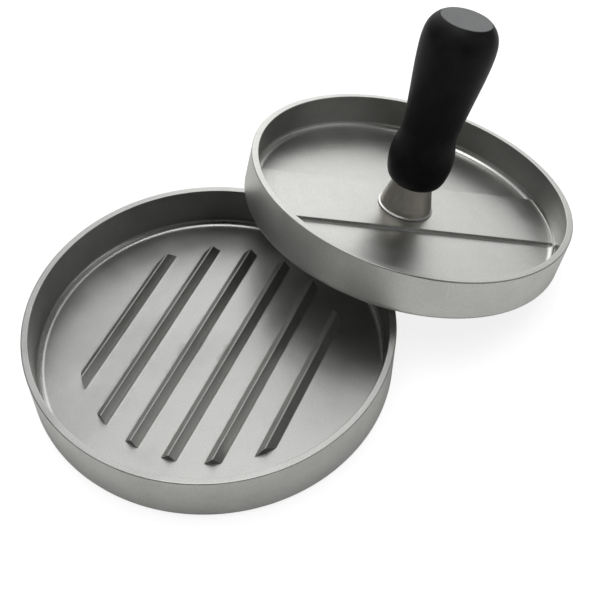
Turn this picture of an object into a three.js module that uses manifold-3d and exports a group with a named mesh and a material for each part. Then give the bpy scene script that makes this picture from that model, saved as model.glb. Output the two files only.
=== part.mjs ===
// Patty press: a round cast dish with a ribbed floor, and a round press plate with a collar and an
// upright handle. The press rests with one edge on the table and its underside on the dish's rim.
// Millimetres, +Z up. The origin is the centre of the dish's underside, and its ribs run along Y.
import * as THREE from "three";
import { mergeVertices } from "three/addons/utils/BufferGeometryUtils.js";
import Module from "manifold-3d";

// ---- dimensions ---------------------------------------------------------------------------
// The dish and the plate are both pans. Heights are from the underside to the top of the rim.
const DISH = {
  radius: 60.0,
  height: 20.4,
  wall: 2.3,
  floor: 3.9,
  footRound: 3.0, // rounding under the wall
  fillet: 2.2, // between wall and floor
  filletSteps: 4,
};
const PLATE = {
  radius: 57.2,
  height: 15.4,
  wall: 2.4,
  floor: 2.5,
  footRound: 1.6,
  fillet: 2.4,
  filletSteps: 5,
};
const RIM_OUTER_CHAMFER = 0.4;
const RIM_INNER_CHAMFER = 0.25;

const RIB_COUNT = 6;
const RIB_PITCH = 13.1;
const RIB_CREST_HALF_WIDTH = 0.3;
const RIB_ROOT_DEPTH = 0.5; // how far a rib runs into the floor
const RIB_END_R = 43.8; // the circle that the ribs' ends are cut to
const DISH_RIB = { height: 2.7, halfWidth: 2.4 };
const PLATE_RIB = { height: 2.2, halfWidth: 2.2 };

// From here to the resting place, heights are above the plate's underside.
const BAND_HALF_WIDTH = 13.65; // raised band across the floor, wall to wall
const BAND_FROM = 1.0;
const BAND_TOP = 3.7;
const BAND_INTO_WALL = 1.0;

const BOSS_R = 6.0; // boss for the stud, under the collar
const BOSS_FROM = 1.5;
const BOSS_TOP = 10.5;
const BOSS_CHAMFER = 0.5;

const STUD_R = 3.0;
const STUD_FROM = 1.3;
const STUD_TO = 37.0;
const STUD_LOWER_CHAMFER = 0.5;
const STUD_UPPER_CHAMFER = 0.7;
const STUD_BORE_R = 3.3;
const STUD_BORE_FLOOR = 1.0;

const PIN_R = 1.0;
const PIN_HALF_LENGTH = 5.4;
const PIN_Z = 7.0; // height of the cross pin's middle
const PIN_HOLE_R = 1.3;
const PIN_HOLE_HALF_LENGTH = 9.0;
const PIN_AZIMUTH = -57.155; // degrees, in the press's own frame
const PIN_ELEVATION = -0.969; // degrees

const COLLAR_FOOT = BAND_TOP + 0.2;
const COLLAR_CEILING = 13.0; // underside of the collar's top
const COLLAR_TOP = 14.3;
const COLLAR_BORE_R = 3.5;

const INSERT_FROM = 16.0;
const INSERT_TO = 36.0;
const INSERT_R = 5.0;
const INSERT_BORE_R = 3.3;

const GRIP_FROM = 14.6;
const GRIP_TOP = 74.7;
const GRIP_BORE_R = 5.3;
const GRIP_BORE_TO = 38.5;

// Where the press rests; angles in degrees
const PRESS_RIM_CENTRE = [41.0, 76.9, 31.05]; // centre of the plate's rim circle
const LEAN_AZIMUTH = 68.6; // the side that the handle leans to
const LEAN_ANGLE = 16.64;
const PRESS_TURN = 29.2; // about the press's own axis

// Segments around each round piece
const PAN_SEGMENTS = 96;
const COLLAR_SEGMENTS = 64;
const GRIP_SEGMENTS = 56;
const BOSS_SEGMENTS = 48;
const ROD_SEGMENTS = 32;
const PIN_SEGMENTS = 24;

// ---- solids and shapes ----------------------------------------------------------------------
const { degToRad } = THREE.MathUtils;
const Z_AXIS = new THREE.Vector3(0, 0, 1);

const wasm = await Module();
wasm.setup();

// A closed geometry as a manifold-3d solid.
function solid(geometry) {
  geometry.deleteAttribute("normal");
  geometry.deleteAttribute("uv");
  const merged = mergeVertices(geometry, 1e-4);
  return new wasm.Manifold(
    new wasm.Mesh({
      numProp: 3,
      vertProperties: new Float32Array(merged.attributes.position.array),
      triVerts: new Uint32Array(merged.index.array),
    }),
  );
}

// A manifold-3d solid as a flat-shaded geometry.
function geometryOf(manifold) {
  const mesh = manifold.getMesh();
  const positions = new Float32Array(mesh.numVert * 3);
  for (let i = 0; i < mesh.numVert; i++) {
    const start = i * mesh.numProp;
    positions.set(mesh.vertProperties.subarray(start, start + 3), i * 3);
  }
  const indexed = new THREE.BufferGeometry();
  indexed.setAttribute("position", new THREE.BufferAttribute(positions, 3));
  indexed.setIndex(new THREE.BufferAttribute(new Uint32Array(mesh.triVerts), 1));
  const flat = indexed.toNonIndexed();
  flat.computeVertexNormals();
  return flat;
}

// A solid of revolution about Z. The profile is a list of [radius, height], anticlockwise with
// radius to the right, and it either starts and ends on the axis or closes on itself.
function lathe(profile, segments) {
  const points = profile.map(([radius, z]) => new THREE.Vector2(radius, z));
  const geometry = new THREE.LatheGeometry(points, segments);
  geometry.rotateX(Math.PI / 2);
  return solid(geometry);
}

// A lathed solid whose profile closes on itself.
function latheLoop(profile, segments) {
  return lathe([...profile, profile[0]], segments);
}

// Profile points of an arc about [centreR, centreZ], between two angles in degrees.
function arc(centreR, centreZ, radius, from, to, steps = 4) {
  const points = [];
  for (let i = 0; i <= steps; i++) {
    const angle = degToRad(from + ((to - from) * i) / steps);
    points.push([centreR + radius * Math.cos(angle), centreZ + radius * Math.sin(angle)]);
  }
  return points;
}

// A cylinder's geometry about Z, between two heights.
function rod(radius, from, to, segments = ROD_SEGMENTS) {
  const geometry = new THREE.CylinderGeometry(radius, radius, to - from, segments);
  geometry.rotateX(Math.PI / 2);
  geometry.translate(0, 0, (from + to) / 2);
  return geometry;
}

// A round pan without ribs, its underside at z = 0.
function pan({ radius, height, wall, floor, footRound, fillet, filletSteps }) {
  const inner = radius - wall;
  return lathe(
    [
      [0, 0],
      ...arc(radius - footRound, footRound, footRound, -90, 0),
      [radius, height - RIM_OUTER_CHAMFER],
      [radius - RIM_OUTER_CHAMFER, height],
      [inner + RIM_INNER_CHAMFER, height],
      [inner, height - RIM_INNER_CHAMFER],
      ...arc(inner - fillet, floor + fillet, fillet, 0, -90, filletSteps),
      [0, floor],
    ],
    PAN_SEGMENTS,
  );
}

// One rib along Y at x, standing up from z = 0: a prism that narrows to a flat crest.
function ribGeometry(x, { height, halfWidth }) {
  const section = [
    [x - halfWidth, 0],
    [x - halfWidth, -RIB_ROOT_DEPTH],
    [x + halfWidth, -RIB_ROOT_DEPTH],
    [x + halfWidth, 0],
    [x + RIB_CREST_HALF_WIDTH, height],
    [x - RIB_CREST_HALF_WIDTH, height],
  ];
  const halfLength = RIB_END_R + 5; // past the circle that cuts the ends
  const geometry = new THREE.ExtrudeGeometry(
    new THREE.Shape(section.map((point) => new THREE.Vector2(...point))),
    { depth: 2 * halfLength, bevelEnabled: false, steps: 1 },
  );
  geometry.translate(0, 0, -halfLength);
  geometry.rotateX(Math.PI / 2); // section up, length along Y
  return geometry;
}

// The ribs side by side, each placed by the given function, with their ends cut to a circle
// about Z that reaches well above and below the floor.
function ribs(rib, floorZ, place) {
  const prisms = [];
  for (let i = 0; i < RIB_COUNT; i++) {
    const geometry = ribGeometry((i - (RIB_COUNT - 1) / 2) * RIB_PITCH, rib);
    place(geometry);
    prisms.push(solid(geometry));
  }
  const reach = 6;
  return prisms
    .reduce((all, prism) => all.add(prism))
    .intersect(solid(rod(RIB_END_R, floorZ - reach, floorZ + reach, PAN_SEGMENTS)));
}

// ---- dish ---------------------------------------------------------------------------------
function dish() {
  const raiseToFloor = (geometry) => geometry.translate(0, 0, DISH.floor);
  return pan(DISH).add(ribs(DISH_RIB, DISH.floor, raiseToFloor));
}

// ---- press pieces, in the press's own frame: +Z up the handle, origin on the underside -------
function plateBand() {
  const box = new THREE.BoxGeometry(
    2 * PLATE.radius + 10, // past the wall on both sides
    2 * BAND_HALF_WIDTH,
    BAND_TOP - BAND_FROM,
  );
  box.translate(0, 0, (BAND_TOP + BAND_FROM) / 2);
  const endRadius = PLATE.radius - PLATE.wall + BAND_INTO_WALL;
  return solid(box).intersect(solid(rod(endRadius, -1, BAND_TOP + 1, PAN_SEGMENTS)));
}

function plateBoss() {
  return lathe(
    [
      [0, BOSS_FROM],
      [BOSS_R, BOSS_FROM],
      [BOSS_R, BOSS_TOP - BOSS_CHAMFER],
      [BOSS_R - BOSS_CHAMFER, BOSS_TOP],
      [0, BOSS_TOP],
    ],
    BOSS_SEGMENTS,
  );
}

// Under the plate, the ribs hang down and run along X.
function plateRibs() {
  return ribs(PLATE_RIB, 0, (geometry) => {
    geometry.rotateY(Math.PI);
    geometry.rotateZ(Math.PI / 2);
  });
}

function plate(pinHole) {
  return pan(PLATE)
    .add(plateBand())
    .add(plateBoss())
    .add(plateRibs())
    .subtract(solid(rod(STUD_BORE_R, STUD_BORE_FLOOR, BOSS_TOP + 2)))
    .subtract(pinHole);
}

// A rod along the cross pin's axis, through boss and stud.
function crossRod(radius, halfLength, segments) {
  const elevation = degToRad(PIN_ELEVATION);
  const azimuth = degToRad(PIN_AZIMUTH);
  const direction = new THREE.Vector3(
    Math.cos(elevation) * Math.cos(azimuth),
    Math.cos(elevation) * Math.sin(azimuth),
    Math.sin(elevation),
  );
  const geometry = rod(radius, -halfLength, halfLength, segments);
  geometry.applyQuaternion(new THREE.Quaternion().setFromUnitVectors(Z_AXIS, direction));
  geometry.translate(0, 0, PIN_Z);
  return solid(geometry);
}

function stud(pinHole) {
  return lathe(
    [
      [0, STUD_FROM],
      [STUD_R - STUD_LOWER_CHAMFER, STUD_FROM],
      [STUD_R, STUD_FROM + STUD_LOWER_CHAMFER],
      [STUD_R, STUD_TO - STUD_UPPER_CHAMFER],
      [STUD_R - STUD_UPPER_CHAMFER, STUD_TO],
      [0, STUD_TO],
    ],
    ROD_SEGMENTS,
  ).subtract(pinHole);
}

// The collar: a thin bell, open below, with a bored top. Columns: radius, height.
function collar() {
  return latheLoop(
    [
      [9.0, COLLAR_FOOT],
      // outside, going up
      [9.65, COLLAR_FOOT],
      [9.9, COLLAR_FOOT + 0.45],
      [9.7, COLLAR_FOOT + 1.1],
      [9.25, COLLAR_FOOT + 2.0],
      [8.65, COLLAR_FOOT + 3.5],
      [8.1, COLLAR_FOOT + 5.2],
      [7.65, COLLAR_FOOT + 7.1],
      [7.35, COLLAR_FOOT + 8.9],
      [7.1, COLLAR_TOP],
      // inside, going down
      [COLLAR_BORE_R, COLLAR_TOP],
      [COLLAR_BORE_R, COLLAR_CEILING],
      [6.2, COLLAR_CEILING],
      [6.5, COLLAR_FOOT + 7.1],
      [7.1, COLLAR_FOOT + 4.1],
      [8.1, COLLAR_FOOT + 1.6],
    ],
    COLLAR_SEGMENTS,
  );
}

function gripInsert() {
  return latheLoop(
    [
      [INSERT_BORE_R, INSERT_FROM],
      [INSERT_R, INSERT_FROM],
      [INSERT_R, INSERT_TO],
      [INSERT_BORE_R, INSERT_TO],
    ],
    ROD_SEGMENTS,
  );
}

// Outside of the grip from the bottom up. Columns: radius, height.
const GRIP_OUTLINE = [
  [7.2, GRIP_FROM], [8.4, 15.0], [9.45, 16.0], [10.15, 17.5],
  [10.65, 19.4], [11.0, 21.7], [11.15, 24.1], [10.95, 27.0],
  [10.4, 29.8], [9.85, 32.0], [9.55, 34.2], [9.58, 36.8],
  [9.9, 40.0], [10.32, 43.6], [10.88, 48.6], [11.48, 53.6],
  [12.0, 58.6], [12.32, 63.0], [12.38, 66.1], [12.15, 68.8],
  [11.55, 71.0], [10.5, 72.8], [9.25, 74.05], [8.4, GRIP_TOP],
];

function grip() {
  return latheLoop(
    [
      [GRIP_BORE_R, GRIP_FROM],
      ...GRIP_OUTLINE,
      [0, GRIP_TOP],
      [0, GRIP_BORE_TO],
      [GRIP_BORE_R, GRIP_BORE_TO],
    ],
    GRIP_SEGMENTS,
  );
}

// ---- assembly -------------------------------------------------------------------------------
function part(name, body, material) {
  const mesh = new THREE.Mesh(geometryOf(body), new THREE.MeshStandardMaterial(material));
  mesh.name = name;
  return mesh;
}

function pressParts() {
  const pinHole = crossRod(PIN_HOLE_R, PIN_HOLE_HALF_LENGTH, ROD_SEGMENTS);
  const pin = crossRod(PIN_R, PIN_HALF_LENGTH, PIN_SEGMENTS);
  return [
    part("press_plate", plate(pinHole), { color: 0xbcbdb8, roughness: 0.34, metalness: 0.95 }),
    part("handle_stud", stud(pinHole), { color: 0x8f9193, roughness: 0.4, metalness: 1.0 }),
    part("stud_pin", pin, { color: 0x74767a, roughness: 0.35, metalness: 1.0 }),
    part("collar", collar(), { color: 0xa39c8c, roughness: 0.3, metalness: 1.0 }),
    part("grip_insert", gripInsert(), { color: 0xb08d4a, roughness: 0.35, metalness: 1.0 }),
    part("handle_grip", grip(), { color: 0x0c0c0d, roughness: 0.45, metalness: 0.0 }),
  ];
}

// Turns the press about its own axis, leans it, then puts its rim's centre in place.
function restPress(press) {
  const azimuth = degToRad(LEAN_AZIMUTH);
  const leanAxis = new THREE.Vector3(-Math.sin(azimuth), Math.cos(azimuth), 0);
  const lean = new THREE.Quaternion().setFromAxisAngle(leanAxis, degToRad(LEAN_ANGLE));
  const turn = new THREE.Quaternion().setFromAxisAngle(Z_AXIS, degToRad(PRESS_TURN));
  press.quaternion.copy(lean).multiply(turn);
  const pressUp = Z_AXIS.clone().applyQuaternion(press.quaternion);
  press.position.set(...PRESS_RIM_CENTRE).addScaledVector(pressUp, -PLATE.height);
}

const press = new THREE.Group();
press.add(...pressParts());
restPress(press);

const root = new THREE.Group();
root.add(part("base_dish", dish(), { color: 0xb9bab6, roughness: 0.36, metalness: 0.95 }));
root.add(press);

export default root;
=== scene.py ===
"""A round cast-aluminium dish and the hand press that rests in it.

The dish stands at the origin, axis up Z, with ribs along Y on its floor. The press is a shallow
ribbed plate with a raised band, a boss, a turned collar and a black grip. It leans in the dish
and has its own frame: +Z up the handle, origin on the plate's underside.
Lengths are in mm in the press's or dish's frame; the scene is in metres.
"""
import math

import bmesh
import bpy
from mathutils import Matrix, Quaternion, Vector


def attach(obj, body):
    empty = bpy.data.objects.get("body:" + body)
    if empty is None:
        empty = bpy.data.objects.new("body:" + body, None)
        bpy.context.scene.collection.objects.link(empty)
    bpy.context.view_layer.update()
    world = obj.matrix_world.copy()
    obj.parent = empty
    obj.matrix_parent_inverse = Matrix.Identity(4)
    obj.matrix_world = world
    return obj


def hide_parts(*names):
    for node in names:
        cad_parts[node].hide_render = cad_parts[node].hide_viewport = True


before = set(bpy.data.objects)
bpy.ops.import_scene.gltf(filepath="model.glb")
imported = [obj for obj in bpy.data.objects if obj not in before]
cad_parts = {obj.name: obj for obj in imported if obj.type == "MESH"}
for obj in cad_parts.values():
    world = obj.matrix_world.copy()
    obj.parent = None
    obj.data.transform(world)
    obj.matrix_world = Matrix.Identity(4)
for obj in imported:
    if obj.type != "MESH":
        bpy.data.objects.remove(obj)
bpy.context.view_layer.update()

MM = 0.001

# ---------------------------------------------------------------------------------------------
# Dimensions (mm)
# ---------------------------------------------------------------------------------------------
DISH_RADIUS, DISH_HEIGHT = 60.0, 20.4
DISH_INNER, DISH_FLOOR, DISH_FILLET = 57.7, 3.9, 2.2
PLATE_RADIUS, PLATE_HEIGHT = 57.2, 15.4
PLATE_INNER, PLATE_FLOOR, PLATE_FILLET = 54.8, 2.5, 2.4

RIB_COUNT, RIB_PITCH = 6, 13.1
RIB_END = 43.8  # radius of the circle the ribs end on
RIB_CREST, RIB_FOOT = 0.42, 0.55  # rounds at the top and at the feet
RIB_SINK = 0.02  # depth of the section below the floor
RIB_BURIED = -0.5  # height of the rib's hidden underside
RIB_EDGE = 0.10  # rounding of the end's upper edge
RIB_SUPPORT = 0.4  # distance from that rounding to the next section
RIB_MIDS = 9  # sections between the two ends

BAND_HALF, BAND_TOP = 13.65, 3.7
BAND_SINK, BAND_BURIED = 0.012, -0.9
BAND_OVERLAP = 0.8  # how far the band runs into the wall
BAND_SECTIONS = 25

BOSS_RADIUS, BOSS_BOTTOM, BOSS_TOP = 6.0, 1.5, 10.5
STUD_BORE_RADIUS, STUD_BORE_BOTTOM, STUD_BORE_TOP = 3.3, 1.0, 12.5
PIN_HOLE_RADIUS, PIN_HOLE_HALF, PIN_HEIGHT = 1.3, 9.0, 7.0
PIN_AZIMUTH, PIN_ELEVATION = math.radians(-57.155), math.radians(-0.969)

COLLAR_LIP_TOP = 4.38
GRIP_TOP = 74.7

# Place of the press: the centre of its rim (m), the azimuth it leans towards, the lean, and the
# turn about its own axis.
PRESS_RIM = Vector((41.00, 76.90, 31.05)) * MM
LEAN_AZIMUTH, LEAN, TURN = math.radians(68.6), math.radians(16.64), math.radians(29.2)


def press_frame():
    lean = Quaternion((-math.sin(LEAN_AZIMUTH), math.cos(LEAN_AZIMUTH), 0.0), LEAN)
    turn = Quaternion((0.0, 0.0, 1.0), TURN)
    rotation = (lean @ turn).to_matrix()
    origin = PRESS_RIM - (rotation @ Vector((0, 0, PLATE_HEIGHT * MM)))
    return Matrix.Translation(origin) @ rotation.to_4x4()


PRESS = press_frame()


# ---------------------------------------------------------------------------------------------
# Mesh helpers
# ---------------------------------------------------------------------------------------------
def link_object(name, data):
    obj = bpy.data.objects.new(name, data)
    bpy.context.scene.collection.objects.link(obj)
    return obj


def new_object(name, verts, faces, matrix=None):
    """A mesh object from vertices in mm, moved by matrix (m)."""
    mesh = bpy.data.meshes.new(name)
    mesh.from_pydata([tuple(v * MM for v in point) for point in verts], [], faces)
    mesh.validate()
    mesh.update()
    if matrix is not None:
        mesh.transform(matrix)
    return link_object(name, mesh)


def corner_arc(corner, before, after, radius, steps):
    """Points of the fillet at a corner, kept to less than half of either side."""
    to_before, to_after = (before - corner).normalized(), (after - corner).normalized()
    angle = to_before.angle(to_after)
    cut = radius / math.tan(angle / 2)
    cut = min(cut, (before - corner).length * 0.499, (after - corner).length * 0.499)
    radius = cut * math.tan(angle / 2)
    start, end = corner + to_before * cut, corner + to_after * cut
    centre = corner + (to_before + to_after).normalized() * (radius / math.sin(angle / 2))
    first = math.atan2(start.y - centre.y, start.x - centre.x)
    last = math.atan2(end.y - centre.y, end.x - centre.x)
    sweep = (last - first + math.pi) % (2 * math.pi) - math.pi
    count = max(3, int(steps * abs(sweep) / (math.pi / 2) + 0.5))
    angles = [first + sweep * j / count for j in range(count + 1)]
    return [centre + radius * Vector((math.cos(a), math.sin(a))) for a in angles]


def rounded(corners, closed=False, steps=7):
    """A profile of (r, z, fillet radius) corners as a list of (r, z), with arcs at the corners
    and support points beside them and along the long straights. Negative r becomes 0."""
    count = len(corners)
    arcs = []
    for i, (x, y, radius) in enumerate(corners):
        corner = Vector((x, y))
        if radius <= 0 or (not closed and i in (0, count - 1)):
            arcs.append([corner])
            continue
        before, after = Vector(corners[i - 1][:2]), Vector(corners[(i + 1) % count][:2])
        arcs.append(corner_arc(corner, before, after, radius, steps))
    points = []
    for i in range(count):
        points += arcs[i]
        if i == count - 1 and not closed:
            break
        start, end = arcs[i][-1], arcs[(i + 1) % count][0]
        length = (end - start).length
        if length > 0.8:
            margin = min(0.18, length * 0.2)
            points.append(start + (end - start).normalized() * margin)
            if length > 6:
                parts = int(length // 3)
                for j in range(1, parts):
                    points.append(start + (end - start) * (j / parts))
            points.append(end - (end - start).normalized() * margin)
    points = [(max(0.0, p.x), p.y) for p in points]
    clean = [points[0]]
    for x, y in points[1:]:
        if math.hypot(x - clean[-1][0], y - clean[-1][1]) > 1e-4:
            clean.append((x, y))
    return clean


def revolve(name, profile, segments=256, closed=False, matrix=None):
    """A solid of revolution about Z from an anticlockwise (r, z) profile in mm."""
    rings, verts, faces = [], [], []
    for radius, z in profile:
        if radius < 1e-6:
            rings.append([len(verts)])
            verts.append((0.0, 0.0, z))
        else:
            first = len(verts)
            for i in range(segments):
                angle = 2 * math.pi * i / segments
                verts.append((radius * math.cos(angle), radius * math.sin(angle), z))
            rings.append(list(range(first, first + segments)))
    pairs = list(zip(rings[:-1], rings[1:]))
    if closed:
        pairs.append((rings[-1], rings[0]))
    for ring, after in pairs:
        for i in range(segments):
            j = (i + 1) % segments
            if len(ring) == 1:
                faces.append((ring[0], after[j], after[i]))
            elif len(after) == 1:
                faces.append((ring[i], ring[j], after[0]))
            else:
                faces.append((ring[i], ring[j], after[j], after[i]))
    return new_object(name, verts, faces, matrix)


def fix_normals(obj, fill_holes=False):
    mesh = bmesh.new()
    mesh.from_mesh(obj.data)
    if fill_holes:
        bmesh.ops.holes_fill(mesh, edges=[e for e in mesh.edges if e.is_boundary], sides=0)
    bmesh.ops.recalc_face_normals(mesh, faces=mesh.faces)
    mesh.to_mesh(obj.data)
    mesh.free()


def loft(name, sections):
    """A capped solid through closed sections that have equally many points."""
    size = len(sections[0])
    faces = []
    for first in range(0, size * (len(sections) - 1), size):
        after = first + size
        for i in range(size):
            j = (i + 1) % size
            faces.append((first + i, first + j, after + j, after + i))
    faces.append(tuple(reversed(range(size))))
    faces.append(tuple(range(size * (len(sections) - 1), size * len(sections))))
    obj = new_object(name, [point for section in sections for point in section], faces)
    fix_normals(obj)
    return obj


def combine_solids(base, others, operation="UNION"):
    """Apply the boolean of base with each of the others, which are removed."""
    for other in others:
        boolean = base.modifiers.new("u", "BOOLEAN")
        boolean.operation = operation
        boolean.object = other
        boolean.solver = "EXACT"
        bpy.context.view_layer.update()
        graph = bpy.context.evaluated_depsgraph_get()
        mesh = bpy.data.meshes.new_from_object(base.evaluated_get(graph))
        base.modifiers.clear()
        old = base.data
        base.data = mesh
        mesh.name = base.name
        bpy.data.meshes.remove(old)
        bpy.data.objects.remove(other, do_unlink=True)


def smooth(obj, angle=40.0, weighted=True):
    mesh = obj.data
    mesh.polygons.foreach_set("use_smooth", [True] * len(mesh.polygons))
    mesh.set_sharp_from_angle(angle=math.radians(angle))
    mesh.update()
    if weighted:
        modifier = obj.modifiers.new("weighted", "WEIGHTED_NORMAL")
        modifier.mode = "FACE_AREA"
        modifier.weight = 50
        modifier.keep_sharp = True


# ---------------------------------------------------------------------------------------------
# Node helpers
# ---------------------------------------------------------------------------------------------
class Tree:
    """Short ways to add nodes to a tree. Inputs may be numbers or sockets."""

    def __init__(self, owner):
        owner.use_nodes = True
        self.tree = owner.node_tree
        self.tree.nodes.clear()

    def node(self, kind):
        return self.tree.nodes.new("ShaderNode" + kind)

    def put(self, value, socket):
        if isinstance(value, bpy.types.NodeSocket):
            self.tree.links.new(value, socket)
        else:
            socket.default_value = value

    def math(self, operation, a, b=0.0, clamp=False):
        node = self.node("Math")
        node.operation = operation
        node.use_clamp = clamp
        self.put(a, node.inputs[0])
        self.put(b, node.inputs[1])
        return node.outputs[0]

    def add(self, a, b, clamp=False):
        return self.math("ADD", a, b, clamp)

    def mul(self, a, b):
        return self.math("MULTIPLY", a, b)

    def vector_math(self, operation, a, b, output="Vector"):
        node = self.node("VectorMath")
        node.operation = operation
        self.put(a, node.inputs[0])
        self.put(b, node.inputs[1])
        return node.outputs[output]

    def dot(self, a, b):
        return self.vector_math("DOT_PRODUCT", a, b, "Value")

    def ramp(self, value, start, end, low=0.0, high=1.0):
        """A smooth step from low at start to high at end."""
        node = self.node("MapRange")
        node.interpolation_type = "SMOOTHSTEP"
        self.put(value, node.inputs["Value"])
        node.inputs["From Min"].default_value = start
        node.inputs["From Max"].default_value = end
        node.inputs["To Min"].default_value = low
        node.inputs["To Max"].default_value = high
        return node.outputs["Result"]

    def mix_shader(self, factor, a, b):
        node = self.node("MixShader")
        for value, socket in zip((factor, a, b), node.inputs):
            self.put(value, socket)
        return node.outputs[0]


class Material(Tree):
    """A material with a principled shader at its output."""

    def __init__(self, name):
        self.material = bpy.data.materials.new(name)
        super().__init__(self.material)
        self.out = self.node("OutputMaterial")
        self.bsdf = self.node("BsdfPrincipled")
        self.put(self.bsdf.outputs[0], self.out.inputs[0])

    def surface(self, values):
        for name, value in values.items():
            self.put(value, self.bsdf.inputs[name])
        return self.material

    def coords(self, local=None):
        """Position in mm in the piece's own frame, whose place in the scene is local."""
        node = self.node("Mapping")
        node.vector_type = "TEXTURE"
        if local is not None:
            node.inputs["Location"].default_value = local.to_translation()
            node.inputs["Rotation"].default_value = local.to_euler("XYZ")
        node.inputs["Scale"].default_value = (MM, MM, MM)
        self.put(self.node("TexCoord").outputs["Object"], node.inputs[0])
        return node.outputs[0]

    def noise(self, vector, scale, detail=2.0, rough=0.5):
        node = self.node("TexNoise")
        node.noise_dimensions = "3D"
        self.put(vector, node.inputs["Vector"])
        node.inputs["Scale"].default_value = scale
        node.inputs["Detail"].default_value = detail
        node.inputs["Roughness"].default_value = rough
        return node.outputs["Fac"]

    def mix(self, factor, a, b):
        node = self.node("Mix")
        node.data_type = "RGBA"
        self.put(factor, node.inputs["Factor"])
        self.put(a, node.inputs["A"])
        self.put(b, node.inputs["B"])
        return node.outputs["Result"]

    def vary(self, rough, mask, low, high, clamp=False):
        """Roughness plus low to high, by a noise mask."""
        return self.add(rough, self.ramp(mask, 0.3, 0.7, low, high), clamp)

    def combine(self, *values):
        node = self.node("CombineXYZ")
        for value, socket in zip(values, node.inputs):
            self.put(value, socket)
        return node.outputs[0]

    def separate(self, vector):
        node = self.node("SeparateXYZ")
        self.put(vector, node.inputs[0])
        return node.outputs

    def bumps(self, layers):
        """A chain of bumps from (height, strength, distance in m) layers."""
        normal = None
        for height, strength, distance in layers:
            node = self.node("Bump")
            node.inputs["Strength"].default_value = strength
            node.inputs["Distance"].default_value = distance
            self.put(height, node.inputs["Height"])
            if normal is not None:
                self.put(normal, node.inputs["Normal"])
            normal = node.outputs[0]
        return normal

    def edge(self, radius):
        """A mask of the convex and concave edges within a radius in mm."""
        bevel = self.node("Bevel")
        bevel.samples = 4
        bevel.inputs["Radius"].default_value = radius * MM
        normal = self.node("NewGeometry").outputs["Normal"]
        facing = self.dot(bevel.outputs[0], normal)
        return self.ramp(self.math("SUBTRACT", 1.0, facing), start=0.02, end=0.3)


def shade(base, factor):
    """The base colour made darker or lighter, with alpha."""
    return tuple(min(1.0, channel * factor) for channel in base) + (1.0,)


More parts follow.
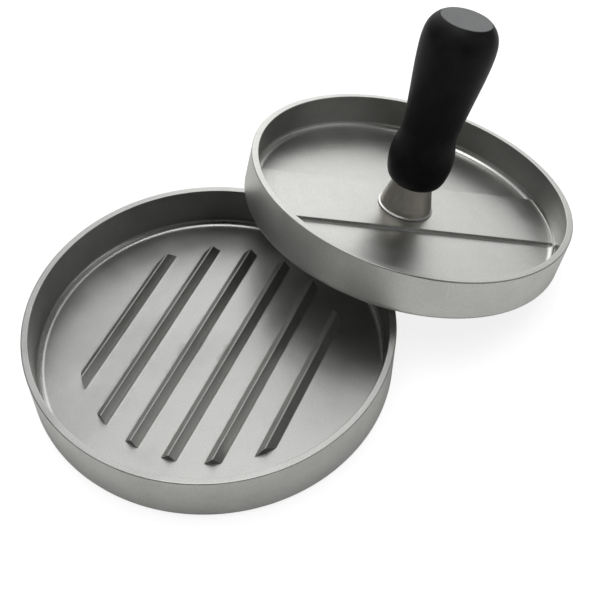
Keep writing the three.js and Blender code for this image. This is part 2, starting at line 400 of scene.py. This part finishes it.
# ---------------------------------------------------------------------------------------------
# Materials
# ---------------------------------------------------------------------------------------------
def aluminium(name, base, rough, seed, inner, floor_z, fillet, end_shade, local=None):
    """Satin cast aluminium: fine grain, faint turning marks, cloudy roughness, edges lightened partly
    as wear and partly as painted highlight.

    inner, floor_z and fillet are the casting's wall radius, floor height and the round between
    them; the argument after fillet sets the strength of the painted shade on the ribs' ends."""
    mat = Material(name)
    spot = mat.coords(local)
    x, y, z = mat.separate(spot)
    radius = mat.math("SQRT", mat.add(mat.mul(x, x), mat.mul(y, y)))
    shifted = mat.vector_math("ADD", spot, (seed * 17.3, seed * 9.1, seed * 5.7))
    cloud = mat.noise(shifted, scale=0.045, detail=3.0, rough=0.55)
    patch = mat.noise(shifted, scale=0.35, detail=3.0, rough=0.6)
    fine = mat.noise(shifted, scale=5.5, detail=3.0, rough=0.65)
    speck = mat.noise(shifted, scale=1.6)
    pits = mat.noise(shifted, scale=2.6, detail=4.0, rough=0.7)
    # turning marks: noise over radius and height only, so it runs round the axis
    across = mat.combine(mat.mul(radius, 3.6), mat.mul(z, 3.6), seed * 3.0)
    turned = mat.noise(across, scale=1.0, detail=3.0, rough=0.6)
    edge = mat.edge(radius=0.45)

    cloudy = mat.ramp(cloud, start=0.35, end=0.65)
    colour = mat.mix(cloudy, shade(base, 0.90), shade(base, 1.05))
    # mask, ramp start, ramp end, strength, brightness against the base colour
    for mask, start, end, strength, brightness in (
        (patch, 0.45, 0.80, 0.22, 0.93),
        (speck, 0.66, 0.74, 0.10, 0.70),
        (fine, 0.50, 0.72, 0.35, 0.72),
        (fine, 0.48, 0.30, 0.30, 1.16),
        (pits, 0.52, 0.68, 0.55, 0.62),
        (pits, 0.48, 0.34, 0.45, 1.16),
    ):
        amount = mat.ramp(mask, start, end, high=strength)
        colour = mat.mix(amount, colour, shade(base, brightness))

    # upright faces near the wall's inside and at the ribs' ends get painted shade, darkened almost to
    # black;
    # the object's own normals are used so that the mask rides with the piece
    normal = mat.node("TexCoord").outputs["Normal"]
    if local is None:
        facing = mat.separate(normal)[2]
    else:
        facing = mat.dot(normal, local.to_3x3() @ Vector((0.0, 0.0, 1.0)))
    upright = mat.ramp(mat.math("ABSOLUTE", facing), start=0.45, end=0.10)
    wall = mat.mul(
        mat.ramp(radius, start=inner + 0.25, end=inner + 0.10),
        mat.ramp(radius, start=inner - 3.0, end=inner - 1.0),
    )
    rib_ends = mat.ramp(radius, start=47.0, end=46.0)
    wall_shade = 0.30
    painted_shade = mat.add(mat.mul(wall, wall_shade), mat.mul(rib_ends, end_shade))
    colour = mat.mix(mat.mul(upright, painted_shade), colour, shade(base, 0.06))
    # edges are lightened: partly wear, partly painted highlight along the rims and crests
    edge_bright, edge_rough = 0.75, 0.25
    colour = mat.mix(mat.mul(edge, edge_bright), colour, shade(base, 1.38))

    roughness = mat.vary(rough - 0.05, cloud, low=0.0, high=0.07)
    roughness = mat.vary(roughness, turned, low=-0.02, high=0.03)
    roughness = mat.vary(roughness, fine, low=-0.015, high=0.02)
    roughness = mat.add(roughness, mat.mul(edge, edge_rough), clamp=True)

    # the round between floor and wall is smoother than the other faces, and its colour is lifted as a
    # painted highlight
    fillet_start, fillet_top = inner - fillet, floor_z + fillet
    ring = mat.mul(
        mat.ramp(radius, start=fillet_start, end=fillet_start + 0.5),
        mat.ramp(radius, start=inner + 0.15, end=inner - 0.05),
    )
    level = mat.mul(
        mat.ramp(z, start=floor_z - 0.2, end=floor_z),
        mat.ramp(z, start=fillet_top, end=fillet_top - 0.5),
    )
    zone = mat.mul(ring, level)
    fillet_rough, fillet_highlight = 0.30, 0.7
    smoother = mat.mul(zone, rough - fillet_rough)
    roughness = mat.math("SUBTRACT", roughness, smoother, clamp=True)
    colour = mat.mix(mat.mul(zone, fillet_highlight), colour, shade(base, 1.35))

    # height, strength, distance (m)
    relief = ((fine, 0.25, 3e-5), (pits, 0.275, 4e-5), (turned, 0.15, 2e-5), (patch, 0.16, 6e-5))
    return mat.surface({
        "Base Color": colour,
        "Metallic": 1.0,
        "Roughness": roughness,
        "Normal": mat.bumps(relief),
    })


def turned_metal(name, base, rough, seed, tint=None, lip_top=None):
    """Turned metal of the press with rings round its axis; below lip_top it is painted near white as
    a painted highlight on the lip.
    """
    mat = Material(name)
    spot = mat.coords(PRESS)
    x, y, z = mat.separate(spot)
    along = mat.combine(seed * 2.0, seed * 5.0, mat.mul(z, 7.0))
    rings = mat.noise(along, scale=1.0, detail=4.0, rough=0.65)
    cloud = mat.noise(spot, scale=0.22, detail=3.0, rough=0.6)
    fine = mat.noise(spot, scale=9.0, rough=0.6)
    stretched = mat.combine(mat.mul(x, 0.55), mat.mul(y, 0.55), mat.mul(z, 0.03))
    streak = mat.noise(stretched, scale=1.0)
    edge = mat.edge(radius=0.3)

    second = shade(base, 0.8) if tint is None else shade(tint, 1.0)
    colour = mat.mix(mat.ramp(cloud, start=0.3, end=0.7), shade(base, 1.0), second)
    colour = mat.mix(mat.ramp(rings, start=0.45, end=0.75, high=0.3), colour, shade(base, 0.8))
    edge_bright = 0.6
    colour = mat.mix(mat.mul(edge, edge_bright), colour, shade(base, 1.25))
    colour = mat.mix(mat.ramp(streak, start=0.40, end=0.65, high=0.35), colour, shade(base, 0.72))
    roughness = mat.vary(rough - 0.03, rings, low=0.0, high=0.07)
    roughness = mat.vary(roughness, cloud, low=-0.02, high=0.03, clamp=True)
    if lip_top is not None:
        # painted highlight: the rounding at the lip's foot is painted near white
        lip_highlight = mat.ramp(z, start=lip_top + 0.12, end=lip_top)
        colour = mat.mix(lip_highlight, colour, (0.93, 0.93, 0.91, 1.0))
    relief = ((rings, 0.25, 2e-5), (fine, 0.10, 2e-5))  # height, strength, distance (m)
    return mat.surface({
        "Base Color": colour,
        "Metallic": 1.0,
        "Roughness": roughness,
        "Normal": mat.bumps(relief),
    })


def plastic(name):
    """Moulded satin black plastic with a fine skin; its flat top is painted paler as a painted sheen.
    """
    mat = Material(name)
    spot = mat.coords(PRESS)
    z = mat.separate(spot)[2]
    fine = mat.noise(spot, scale=6.0, detail=3.0, rough=0.6)
    skin = mat.noise(spot, scale=2.2)
    cloud = mat.noise(spot, scale=0.10, detail=3.0, rough=0.55)
    edge = mat.edge(radius=0.5)
    top = mat.ramp(z, start=GRIP_TOP - 0.2, end=GRIP_TOP - 0.02)

    black, soft_black = (0.0035, 0.0035, 0.0038, 1), (0.0065, 0.0065, 0.0068, 1)
    grain, worn, top_sheen_grey = (0.012, 0.012, 0.012, 1), (0.02, 0.02, 0.02, 1), (0.058, 0.059, 0.060, 1)
    edge_bright = 0.5
    colour = mat.mix(mat.ramp(cloud, start=0.3, end=0.7), black, soft_black)
    colour = mat.mix(mat.ramp(fine, start=0.62, end=0.75, high=0.35), colour, grain)
    colour = mat.mix(mat.mul(edge, edge_bright), colour, worn)
    # painted sheen: the flat top is lightened to grey
    colour = mat.mix(top, colour, top_sheen_grey)
    base_rough = 0.36
    roughness = mat.vary(base_rough, cloud, low=0.0, high=0.07)
    roughness = mat.vary(roughness, skin, low=-0.03, high=0.04, clamp=True)
    relief = ((skin, 0.10, 4e-5), (fine, 0.10, 2e-5))  # height, strength, distance (m)
    return mat.surface({
        "Base Color": colour,
        "Roughness": roughness,
        "IOR": 1.5,
        "Specular IOR Level": 0.10,
        "Normal": mat.bumps(relief),
    })


# the dish's rib ends get strong painted shade, the plate's none
mat_dish = aluminium(
    "cast_aluminium_dish", base=(0.66, 0.665, 0.645), rough=0.38, seed=1.0,
    inner=DISH_INNER, floor_z=DISH_FLOOR, fillet=DISH_FILLET, end_shade=0.75,
)
mat_plate = aluminium(
    "cast_aluminium_plate", base=(0.67, 0.675, 0.65), rough=0.36, seed=2.0,
    inner=PLATE_INNER, floor_z=PLATE_FLOOR, fillet=PLATE_FILLET, end_shade=0.0, local=PRESS,
)
mat_collar = turned_metal(
    "satin_collar", base=(0.80, 0.765, 0.69), rough=0.36, seed=3.0,
    tint=(0.70, 0.66, 0.58), lip_top=COLLAR_LIP_TOP,
)
mat_grip = plastic("black_plastic")
mat_steel = turned_metal("stud_steel", base=(0.52, 0.53, 0.54), rough=0.3, seed=4.0)
mat_pin = turned_metal("pin_steel", base=(0.42, 0.43, 0.45), rough=0.26, seed=5.0)
mat_brass = turned_metal("insert_brass", base=(0.70, 0.54, 0.26), rough=0.28, seed=6.0)


def set_material(obj, material):
    obj.data.materials.clear()
    obj.data.materials.append(material)


def dress(obj, material, body, node):
    set_material(obj, material)
    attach(obj, body)
    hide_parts(node)


# ---------------------------------------------------------------------------------------------
# Castings and their ribs
# ---------------------------------------------------------------------------------------------
# rounded() clamps r at 0, so sections across a centre line are drawn this far out (mm)
SHIFT = 10.0


def casting(name, radius, height, inner, floor_z, foot, fillet):
    """A round pan with a flat floor, a rounded foot and a fillet inside the wall."""
    corners = [
        (0.0, 0.0, 0),
        (radius, 0.0, foot),
        (radius, height, 0.4),
        (inner, height, 0.25),
        (inner, floor_z, fillet),
        (0.0, floor_z, 0),
    ]
    return revolve(name, rounded(corners))


def rib_section(height, half):
    """A rib's closed (across, height) section: foot round, slope, crest round, underside."""
    corners = [
        (SHIFT - half - 1.2, 0.0, 0),
        (SHIFT - half, 0.0, RIB_FOOT),
        (SHIFT, height + 0.16, RIB_CREST),
        (SHIFT + half, 0.0, RIB_FOOT),
        (SHIFT + half + 1.2, 0.0, 0),
    ]
    points = [(x - SHIFT, z - RIB_SINK) for x, z in rounded(corners, steps=8)]
    # keep from where the foot round starts to where it ends, and bring the crest to height
    points = [point for point in points if abs(point[0]) < half + 0.62]
    scale = height / max(z for x, z in points)
    section = [(x, z * scale if z > 0 else z) for x, z in points]
    return section + [(section[-1][0], RIB_BURIED), (section[0][0], RIB_BURIED)]


def ribs(name, floor_z, height, half, up, along):
    """The row of ribs along x or y, each closed and sunk a little into the surface at floor_z."""
    # distance in from the rib's end, share of RIB_EDGE that the crest drops there
    end_rows = [
        (0.0, 1.0),
        (RIB_EDGE * 0.09, 0.62),
        (RIB_EDGE * 0.33, 0.26),
        (RIB_EDGE * 0.66, 0.06),
        (RIB_EDGE, 0.0),
        (RIB_EDGE + RIB_SUPPORT, 0.0),
    ]
    # side (0 between the ends), distance in (or fraction of the length between), drop
    stations = [(-1, inset, drop) for inset, drop in end_rows]
    stations += [(0, j / (RIB_MIDS + 1.0), 0) for j in range(1, RIB_MIDS + 1)]
    stations += [(1, inset, drop) for inset, drop in reversed(end_rows)]
    outline = rib_section(height, half)
    made = []
    for k in range(RIB_COUNT):
        offset = (k - (RIB_COUNT - 1) / 2) * RIB_PITCH
        sections = []
        for side, place, drop in stations:
            section = []
            for across, rise in outline:
                x = offset + across
                reach = math.sqrt(RIB_END**2 - x * x)
                if side == 0:
                    start = -reach + RIB_EDGE + RIB_SUPPORT
                    y = start + place * 2 * (reach - RIB_EDGE - RIB_SUPPORT)
                else:
                    y = side * (reach - place)
                z = (rise - drop * RIB_EDGE * max(0.0, rise) / height) * up + floor_z
                section.append((-y, x, z) if along == "x" else (x, y, z))
            sections.append(section)
        made.append(loft(f"{name}_{k}", sections))
    return made


# Dish
dish = casting(
    "dish_casting", DISH_RADIUS, DISH_HEIGHT, DISH_INNER, DISH_FLOOR, foot=3.0, fillet=DISH_FILLET
)
combine_solids(dish, ribs("dish_rib", DISH_FLOOR, height=2.7, half=2.4, up=1, along="y"))
smooth(dish)
dress(dish, mat_dish, "dish", "base_dish")


# ---------------------------------------------------------------------------------------------
# Press plate: shell, raised band, boss and the ribs under it
# ---------------------------------------------------------------------------------------------
def band():
    """The raised band along X: a step with a small round at its top edge and at its foot."""
    height = BAND_TOP - PLATE_FLOOR
    corners = [
        (SHIFT, height, 0),
        (SHIFT + BAND_HALF, height, 0.3),
        (SHIFT + BAND_HALF + 0.15, 0.0, 0.85),
        (SHIFT + BAND_HALF + 1.5, 0.0, 0),
    ]
    points = [(x - SHIFT, z - BAND_SINK) for x, z in rounded(corners, steps=6)]
    right = [(x, z) for x, z in points if 0.5 < x < BAND_HALF + 1.1]
    outline = [(-x, z) for x, z in reversed(right)] + right
    outline += [(outline[-1][0], BAND_BURIED), (outline[0][0], BAND_BURIED)]
    end_radius = PLATE_INNER + BAND_OVERLAP
    sections = []
    for j in range(BAND_SECTIONS):
        along = -1 + 2 * j / (BAND_SECTIONS - 1.0)
        sections.append([
            (along * math.sqrt(end_radius**2 - y * y), y, PLATE_FLOOR + z) for y, z in outline
        ])
    return loft("band", sections)


def cylinder(name, radius, bottom, top, segments):
    profile = [(0.0, bottom), (radius, bottom), (radius, top), (0.0, top)]
    return revolve(name, profile, segments)


def boss_cutters():
    """The stud's blind bore and the cross pin's hole through the boss."""
    bore = cylinder("stud_bore", STUD_BORE_RADIUS, STUD_BORE_BOTTOM, STUD_BORE_TOP, 64)
    bore.data.transform(Matrix.Rotation(math.radians(1.3), 4, "Z"))
    axis = Vector((
        math.cos(PIN_ELEVATION) * math.cos(PIN_AZIMUTH),
        math.cos(PIN_ELEVATION) * math.sin(PIN_AZIMUTH),
        math.sin(PIN_ELEVATION),
    ))
    hole = cylinder("pin_hole", PIN_HOLE_RADIUS, -PIN_HOLE_HALF, PIN_HOLE_HALF, 48)
    tilt = Vector((0.0, 0.0, 1.0)).rotation_difference(axis).to_matrix().to_4x4()
    hole.data.transform(Matrix.Translation((0.0, 0.0, PIN_HEIGHT * MM)) @ tilt)
    for cutter in (bore, hole):
        fix_normals(cutter)
    return [bore, hole]


plate = casting(
    "plate_casting", PLATE_RADIUS, PLATE_HEIGHT, PLATE_INNER, PLATE_FLOOR,
    foot=1.6, fillet=PLATE_FILLET,
)
BOSS = [
    (0.0, BOSS_BOTTOM, 0),
    (BOSS_RADIUS, BOSS_BOTTOM, 0),
    (BOSS_RADIUS, BOSS_TOP, 0.5),
    (0.0, BOSS_TOP, 0),
]
boss = revolve("boss", rounded(BOSS), 96)
plate_ribs = ribs("plate_rib", 0.0, height=2.2, half=2.2, up=-1, along="x")
combine_solids(plate, [band(), boss] + plate_ribs)
combine_solids(plate, boss_cutters(), "DIFFERENCE")
plate.data.transform(PRESS)
smooth(plate)
dress(plate, mat_plate, "press", "press_plate")

# ---------------------------------------------------------------------------------------------
# Collar: closed section, (r, z, fillet radius)
# ---------------------------------------------------------------------------------------------
COLLAR = [
    (8.95, 3.84, 0.15), (9.75, 3.84, 0.2), (9.9, 4.1, 0.1), (9.12, 4.36, 0.2),
    (8.9, 6.2, 2.0), (8.25, 8.6, 4.0), (7.55, 11.4, 5.0), (7.1, 14.4, 0.3),
    (3.5, 14.4, 0.2), (3.5, 13.0, 0.2), (6.2, 13.0, 0.5), (6.6, 10.6, 1.0),
    (7.4, 7.2, 1.0),
]
collar = revolve("collar_turning", rounded(COLLAR, closed=True), 160, closed=True, matrix=PRESS)
smooth(collar, angle=50, weighted=False)
dress(collar, mat_collar, "press", "collar")

# ---------------------------------------------------------------------------------------------
# Grip: (r, z) points of the bore and underside, the outer curve, and the flat top
# ---------------------------------------------------------------------------------------------
GRIP_BORE = [
    (5.3, 38.4), (5.3, 38.2), (5.3, 30.0), (5.3, 15.1), (5.3, 14.85),
    (5.4, 14.65), (5.6, 14.6), (6.2, 14.6), (6.9, 14.6),
]
GRIP_OUTLINE = [
    (7.3, 14.62), (8.45, 15.0), (9.45, 16.0), (10.15, 17.5), (10.65, 19.4), (11.0, 21.7),
    (11.15, 24.1), (10.95, 27.0), (10.4, 29.8), (9.85, 32.0), (9.55, 34.2), (9.58, 36.8),
    (9.9, 40.0), (10.32, 43.6), (10.88, 48.6), (11.48, 53.6), (12.0, 58.6), (12.32, 63.0),
    (12.38, 66.1), (12.15, 68.8), (11.55, 71.0), (10.5, 72.8), (9.3, 74.03), (8.52, 74.57),
]
GRIP_END = [(8.45, 74.62), (8.36, 74.66), (8.24, 74.685)]
GRIP_END += [(radius, GRIP_TOP) for radius in (8.1, 7.9, 5.0, 2.0, 0.0)]


def spline(points, steps=6):
    """A centripetal Catmull-Rom curve through the points."""
    knots = [Vector(point) for point in points]
    knots = [knots[0] * 2 - knots[1]] + knots + [knots[-1] * 2 - knots[-2]]
    curve = []
    for i in range(1, len(knots) - 2):
        span = knots[i - 1 : i + 3]
        times = [0.0]
        for start, end in zip(span, span[1:]):
            times.append(times[-1] + math.sqrt((end - start).length))
        for j in range(steps):
            now = times[1] + (times[2] - times[1]) * j / steps

            def blend(a, b, first, last):
                length = times[last] - times[first]
                return (times[last] - now) / length * a + (now - times[first]) / length * b

            lines = [blend(span[k], span[k + 1], k, k + 1) for k in range(3)]
            arcs = [blend(lines[k], lines[k + 1], k, k + 2) for k in range(2)]
            curve.append(tuple(blend(arcs[0], arcs[1], 1, 2)))
    curve.append(tuple(knots[-2]))
    return curve


grip = revolve("grip_moulding", GRIP_BORE + spline(GRIP_OUTLINE) + GRIP_END, 192, matrix=PRESS)
fix_normals(grip, fill_holes=True)  # closes the bore's blind end
smooth(grip, angle=50, weighted=False)
dress(grip, mat_grip, "press", "handle_grip")

# hidden pieces keep their CAD shape
for node, material in (
    ("handle_stud", mat_steel), ("stud_pin", mat_pin), ("grip_insert", mat_brass)
):
    set_material(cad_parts[node], material)

# ---------------------------------------------------------------------------------------------
# Floor, world, lights, camera (m)
# ---------------------------------------------------------------------------------------------
CAMERA_TURN = math.radians(23.25)  # the camera's turn about Z
FLOOR_HALF, FLOOR_Z = 6.0, -0.0002


def camera_direction(azimuth, elevation):
    """A direction in the world from an azimuth to the right of straight back, and an elevation,
    both in degrees as the camera sees them."""
    turn, rise = math.radians(azimuth), math.radians(elevation)
    direction = Vector((
        math.sin(turn) * math.cos(rise), math.cos(turn) * math.cos(rise), math.sin(rise)
    ))
    direction.rotate(Matrix.Rotation(CAMERA_TURN, 3, "Z"))
    return direction


def floor_material():
    """Pale to diffuse light, grey in reflections and mostly plain white to the camera."""
    mat = Material("floor_pale")
    mat.surface({
        "Base Color": (0.93, 0.93, 0.93, 1),
        "Roughness": 0.9,
        "Specular IOR Level": 0.0,
    })
    grey = mat.node("BsdfDiffuse")
    grey.inputs["Color"].default_value = (0.295, 0.295, 0.29, 1)
    glow = mat.node("Emission")
    glow.inputs["Color"].default_value = (1.0, 1.0, 1.0, 1)
    rays = mat.node("LightPath").outputs
    lit = mat.mix_shader(rays["Is Glossy Ray"], mat.bsdf.outputs[0], grey.outputs[0])
    white_share = 0.85
    white = mat.mul(rays["Is Camera Ray"], white_share)
    mat.put(mat.mix_shader(white, lit, glow.outputs[0]), mat.out.inputs[0])
    return mat.material


floor_mesh = bpy.data.meshes.new("floor")
floor_corners = [(x * FLOOR_HALF, y * FLOOR_HALF, 0) for x, y in ((-1, -1), (1, -1), (1, 1), (-1, 1))]
floor_mesh.from_pydata(floor_corners, [], [(0, 1, 2, 3)])
floor = link_object("floor", floor_mesh)
floor.location.z = FLOOR_Z
floor_mesh.materials.append(floor_material())

# soft panels of light as the camera sees them:
# azimuth, elevation, inner and outer half angle (degrees), strength
PANELS = [
    (0, 5, 4, 44, 1.28),
    (36, 5, 4, 44, 0.09),
    (108, 5, 4, 44, 0.08),
    (144, 5, 4, 44, 0.05),
    (20, 30, 4, 44, 0.10),
    (100, 30, 4, 44, 0.20),
    (265, 42, 4, 44, 0.14),
    (0, 66, 3, 20, 0.60),
    (0, 80, 3, 20, 1.90),
    (180, 85, 3, 20, 0.80),
    (310, 68, 3, 20, 0.36),
    (0, 40, 3, 20, 0.98),
    (325, 42, 3, 20, 0.26),
]
AMBIENT = 0.0  # strength added everywhere
BACKDROP = (0.93, 0.93, 0.93, 1)  # what the camera sees past the floor


def build_world():
    world = bpy.data.worlds.new("studio")
    bpy.context.scene.world = world
    sky = Tree(world)
    out = sky.node("OutputWorld")
    light = sky.node("Background")
    backdrop = sky.node("Background")
    backdrop.inputs[0].default_value = BACKDROP
    backdrop.inputs[1].default_value = 1.0
    camera_ray = sky.node("LightPath").outputs["Is Camera Ray"]
    seen = sky.mix_shader(camera_ray, light.outputs[0], backdrop.outputs[0])
    sky.put(seen, out.inputs[0])
    view = sky.node("TexCoord").outputs["Generated"]
    total = None
    for azimuth, elevation, inner, outer, strength in PANELS:
        facing = sky.dot(view, camera_direction(azimuth, elevation))
        start, end = math.cos(math.radians(outer)), math.cos(math.radians(inner))
        panel = sky.ramp(facing, start, end, high=strength)
        total = panel if total is None else sky.add(total, panel)
    light.inputs[0].default_value = (1.0, 1.0, 1.0, 1)
    sky.put(sky.add(total, AMBIENT), light.inputs[1])


build_world()

LIGHT_TARGET = Vector((0.02, 0.04, 0.02))


def area_light(name, azimuth, elevation, distance, diameter, watts):
    """A disk light aimed at LIGHT_TARGET, unseen by the camera and in reflections."""
    data = bpy.data.lights.new(name, "AREA")
    data.shape = "DISK"
    data.size = diameter
    data.energy = watts
    obj = link_object(name, data)
    direction = camera_direction(azimuth, elevation)
    obj.location = LIGHT_TARGET + direction * distance
    obj.rotation_mode = "QUATERNION"
    obj.rotation_quaternion = direction.to_track_quat("Z", "Y")
    obj.visible_glossy = False
    obj.visible_camera = False


area_light("overhead", azimuth=0, elevation=88, distance=1.2, diameter=1.6, watts=30.0)
area_light("back_fill", azimuth=-20, elevation=50, distance=1.3, diameter=1.2, watts=12.0)

CAMERA_PLACE = (0.10626986, -0.17412483, 0.28008443)
CAMERA_RIGHT = Vector((0.91557005, 0.40210632, 0.00648012))
CAMERA_UP = Vector((-0.31641961, 0.71033468, 0.62873148))

camera_data = bpy.data.cameras.new("camera")
camera = link_object("camera", camera_data)
camera_data.sensor_width = 36.0
camera_data.lens = 61.43
camera_data.clip_start = 0.01
camera_data.clip_end = 50.0
back = CAMERA_RIGHT.cross(CAMERA_UP).normalized()
up = back.cross(CAMERA_RIGHT).normalized()
rotation = Matrix((CAMERA_RIGHT.normalized(), up, back)).transposed()
camera.matrix_world = Matrix.Translation(CAMERA_PLACE) @ rotation.to_4x4()

scene = bpy.context.scene
scene.camera = camera
scene.view_settings.view_transform = "Standard"
scene.view_settings.look = "None"

bpy.context.view_layer.update()
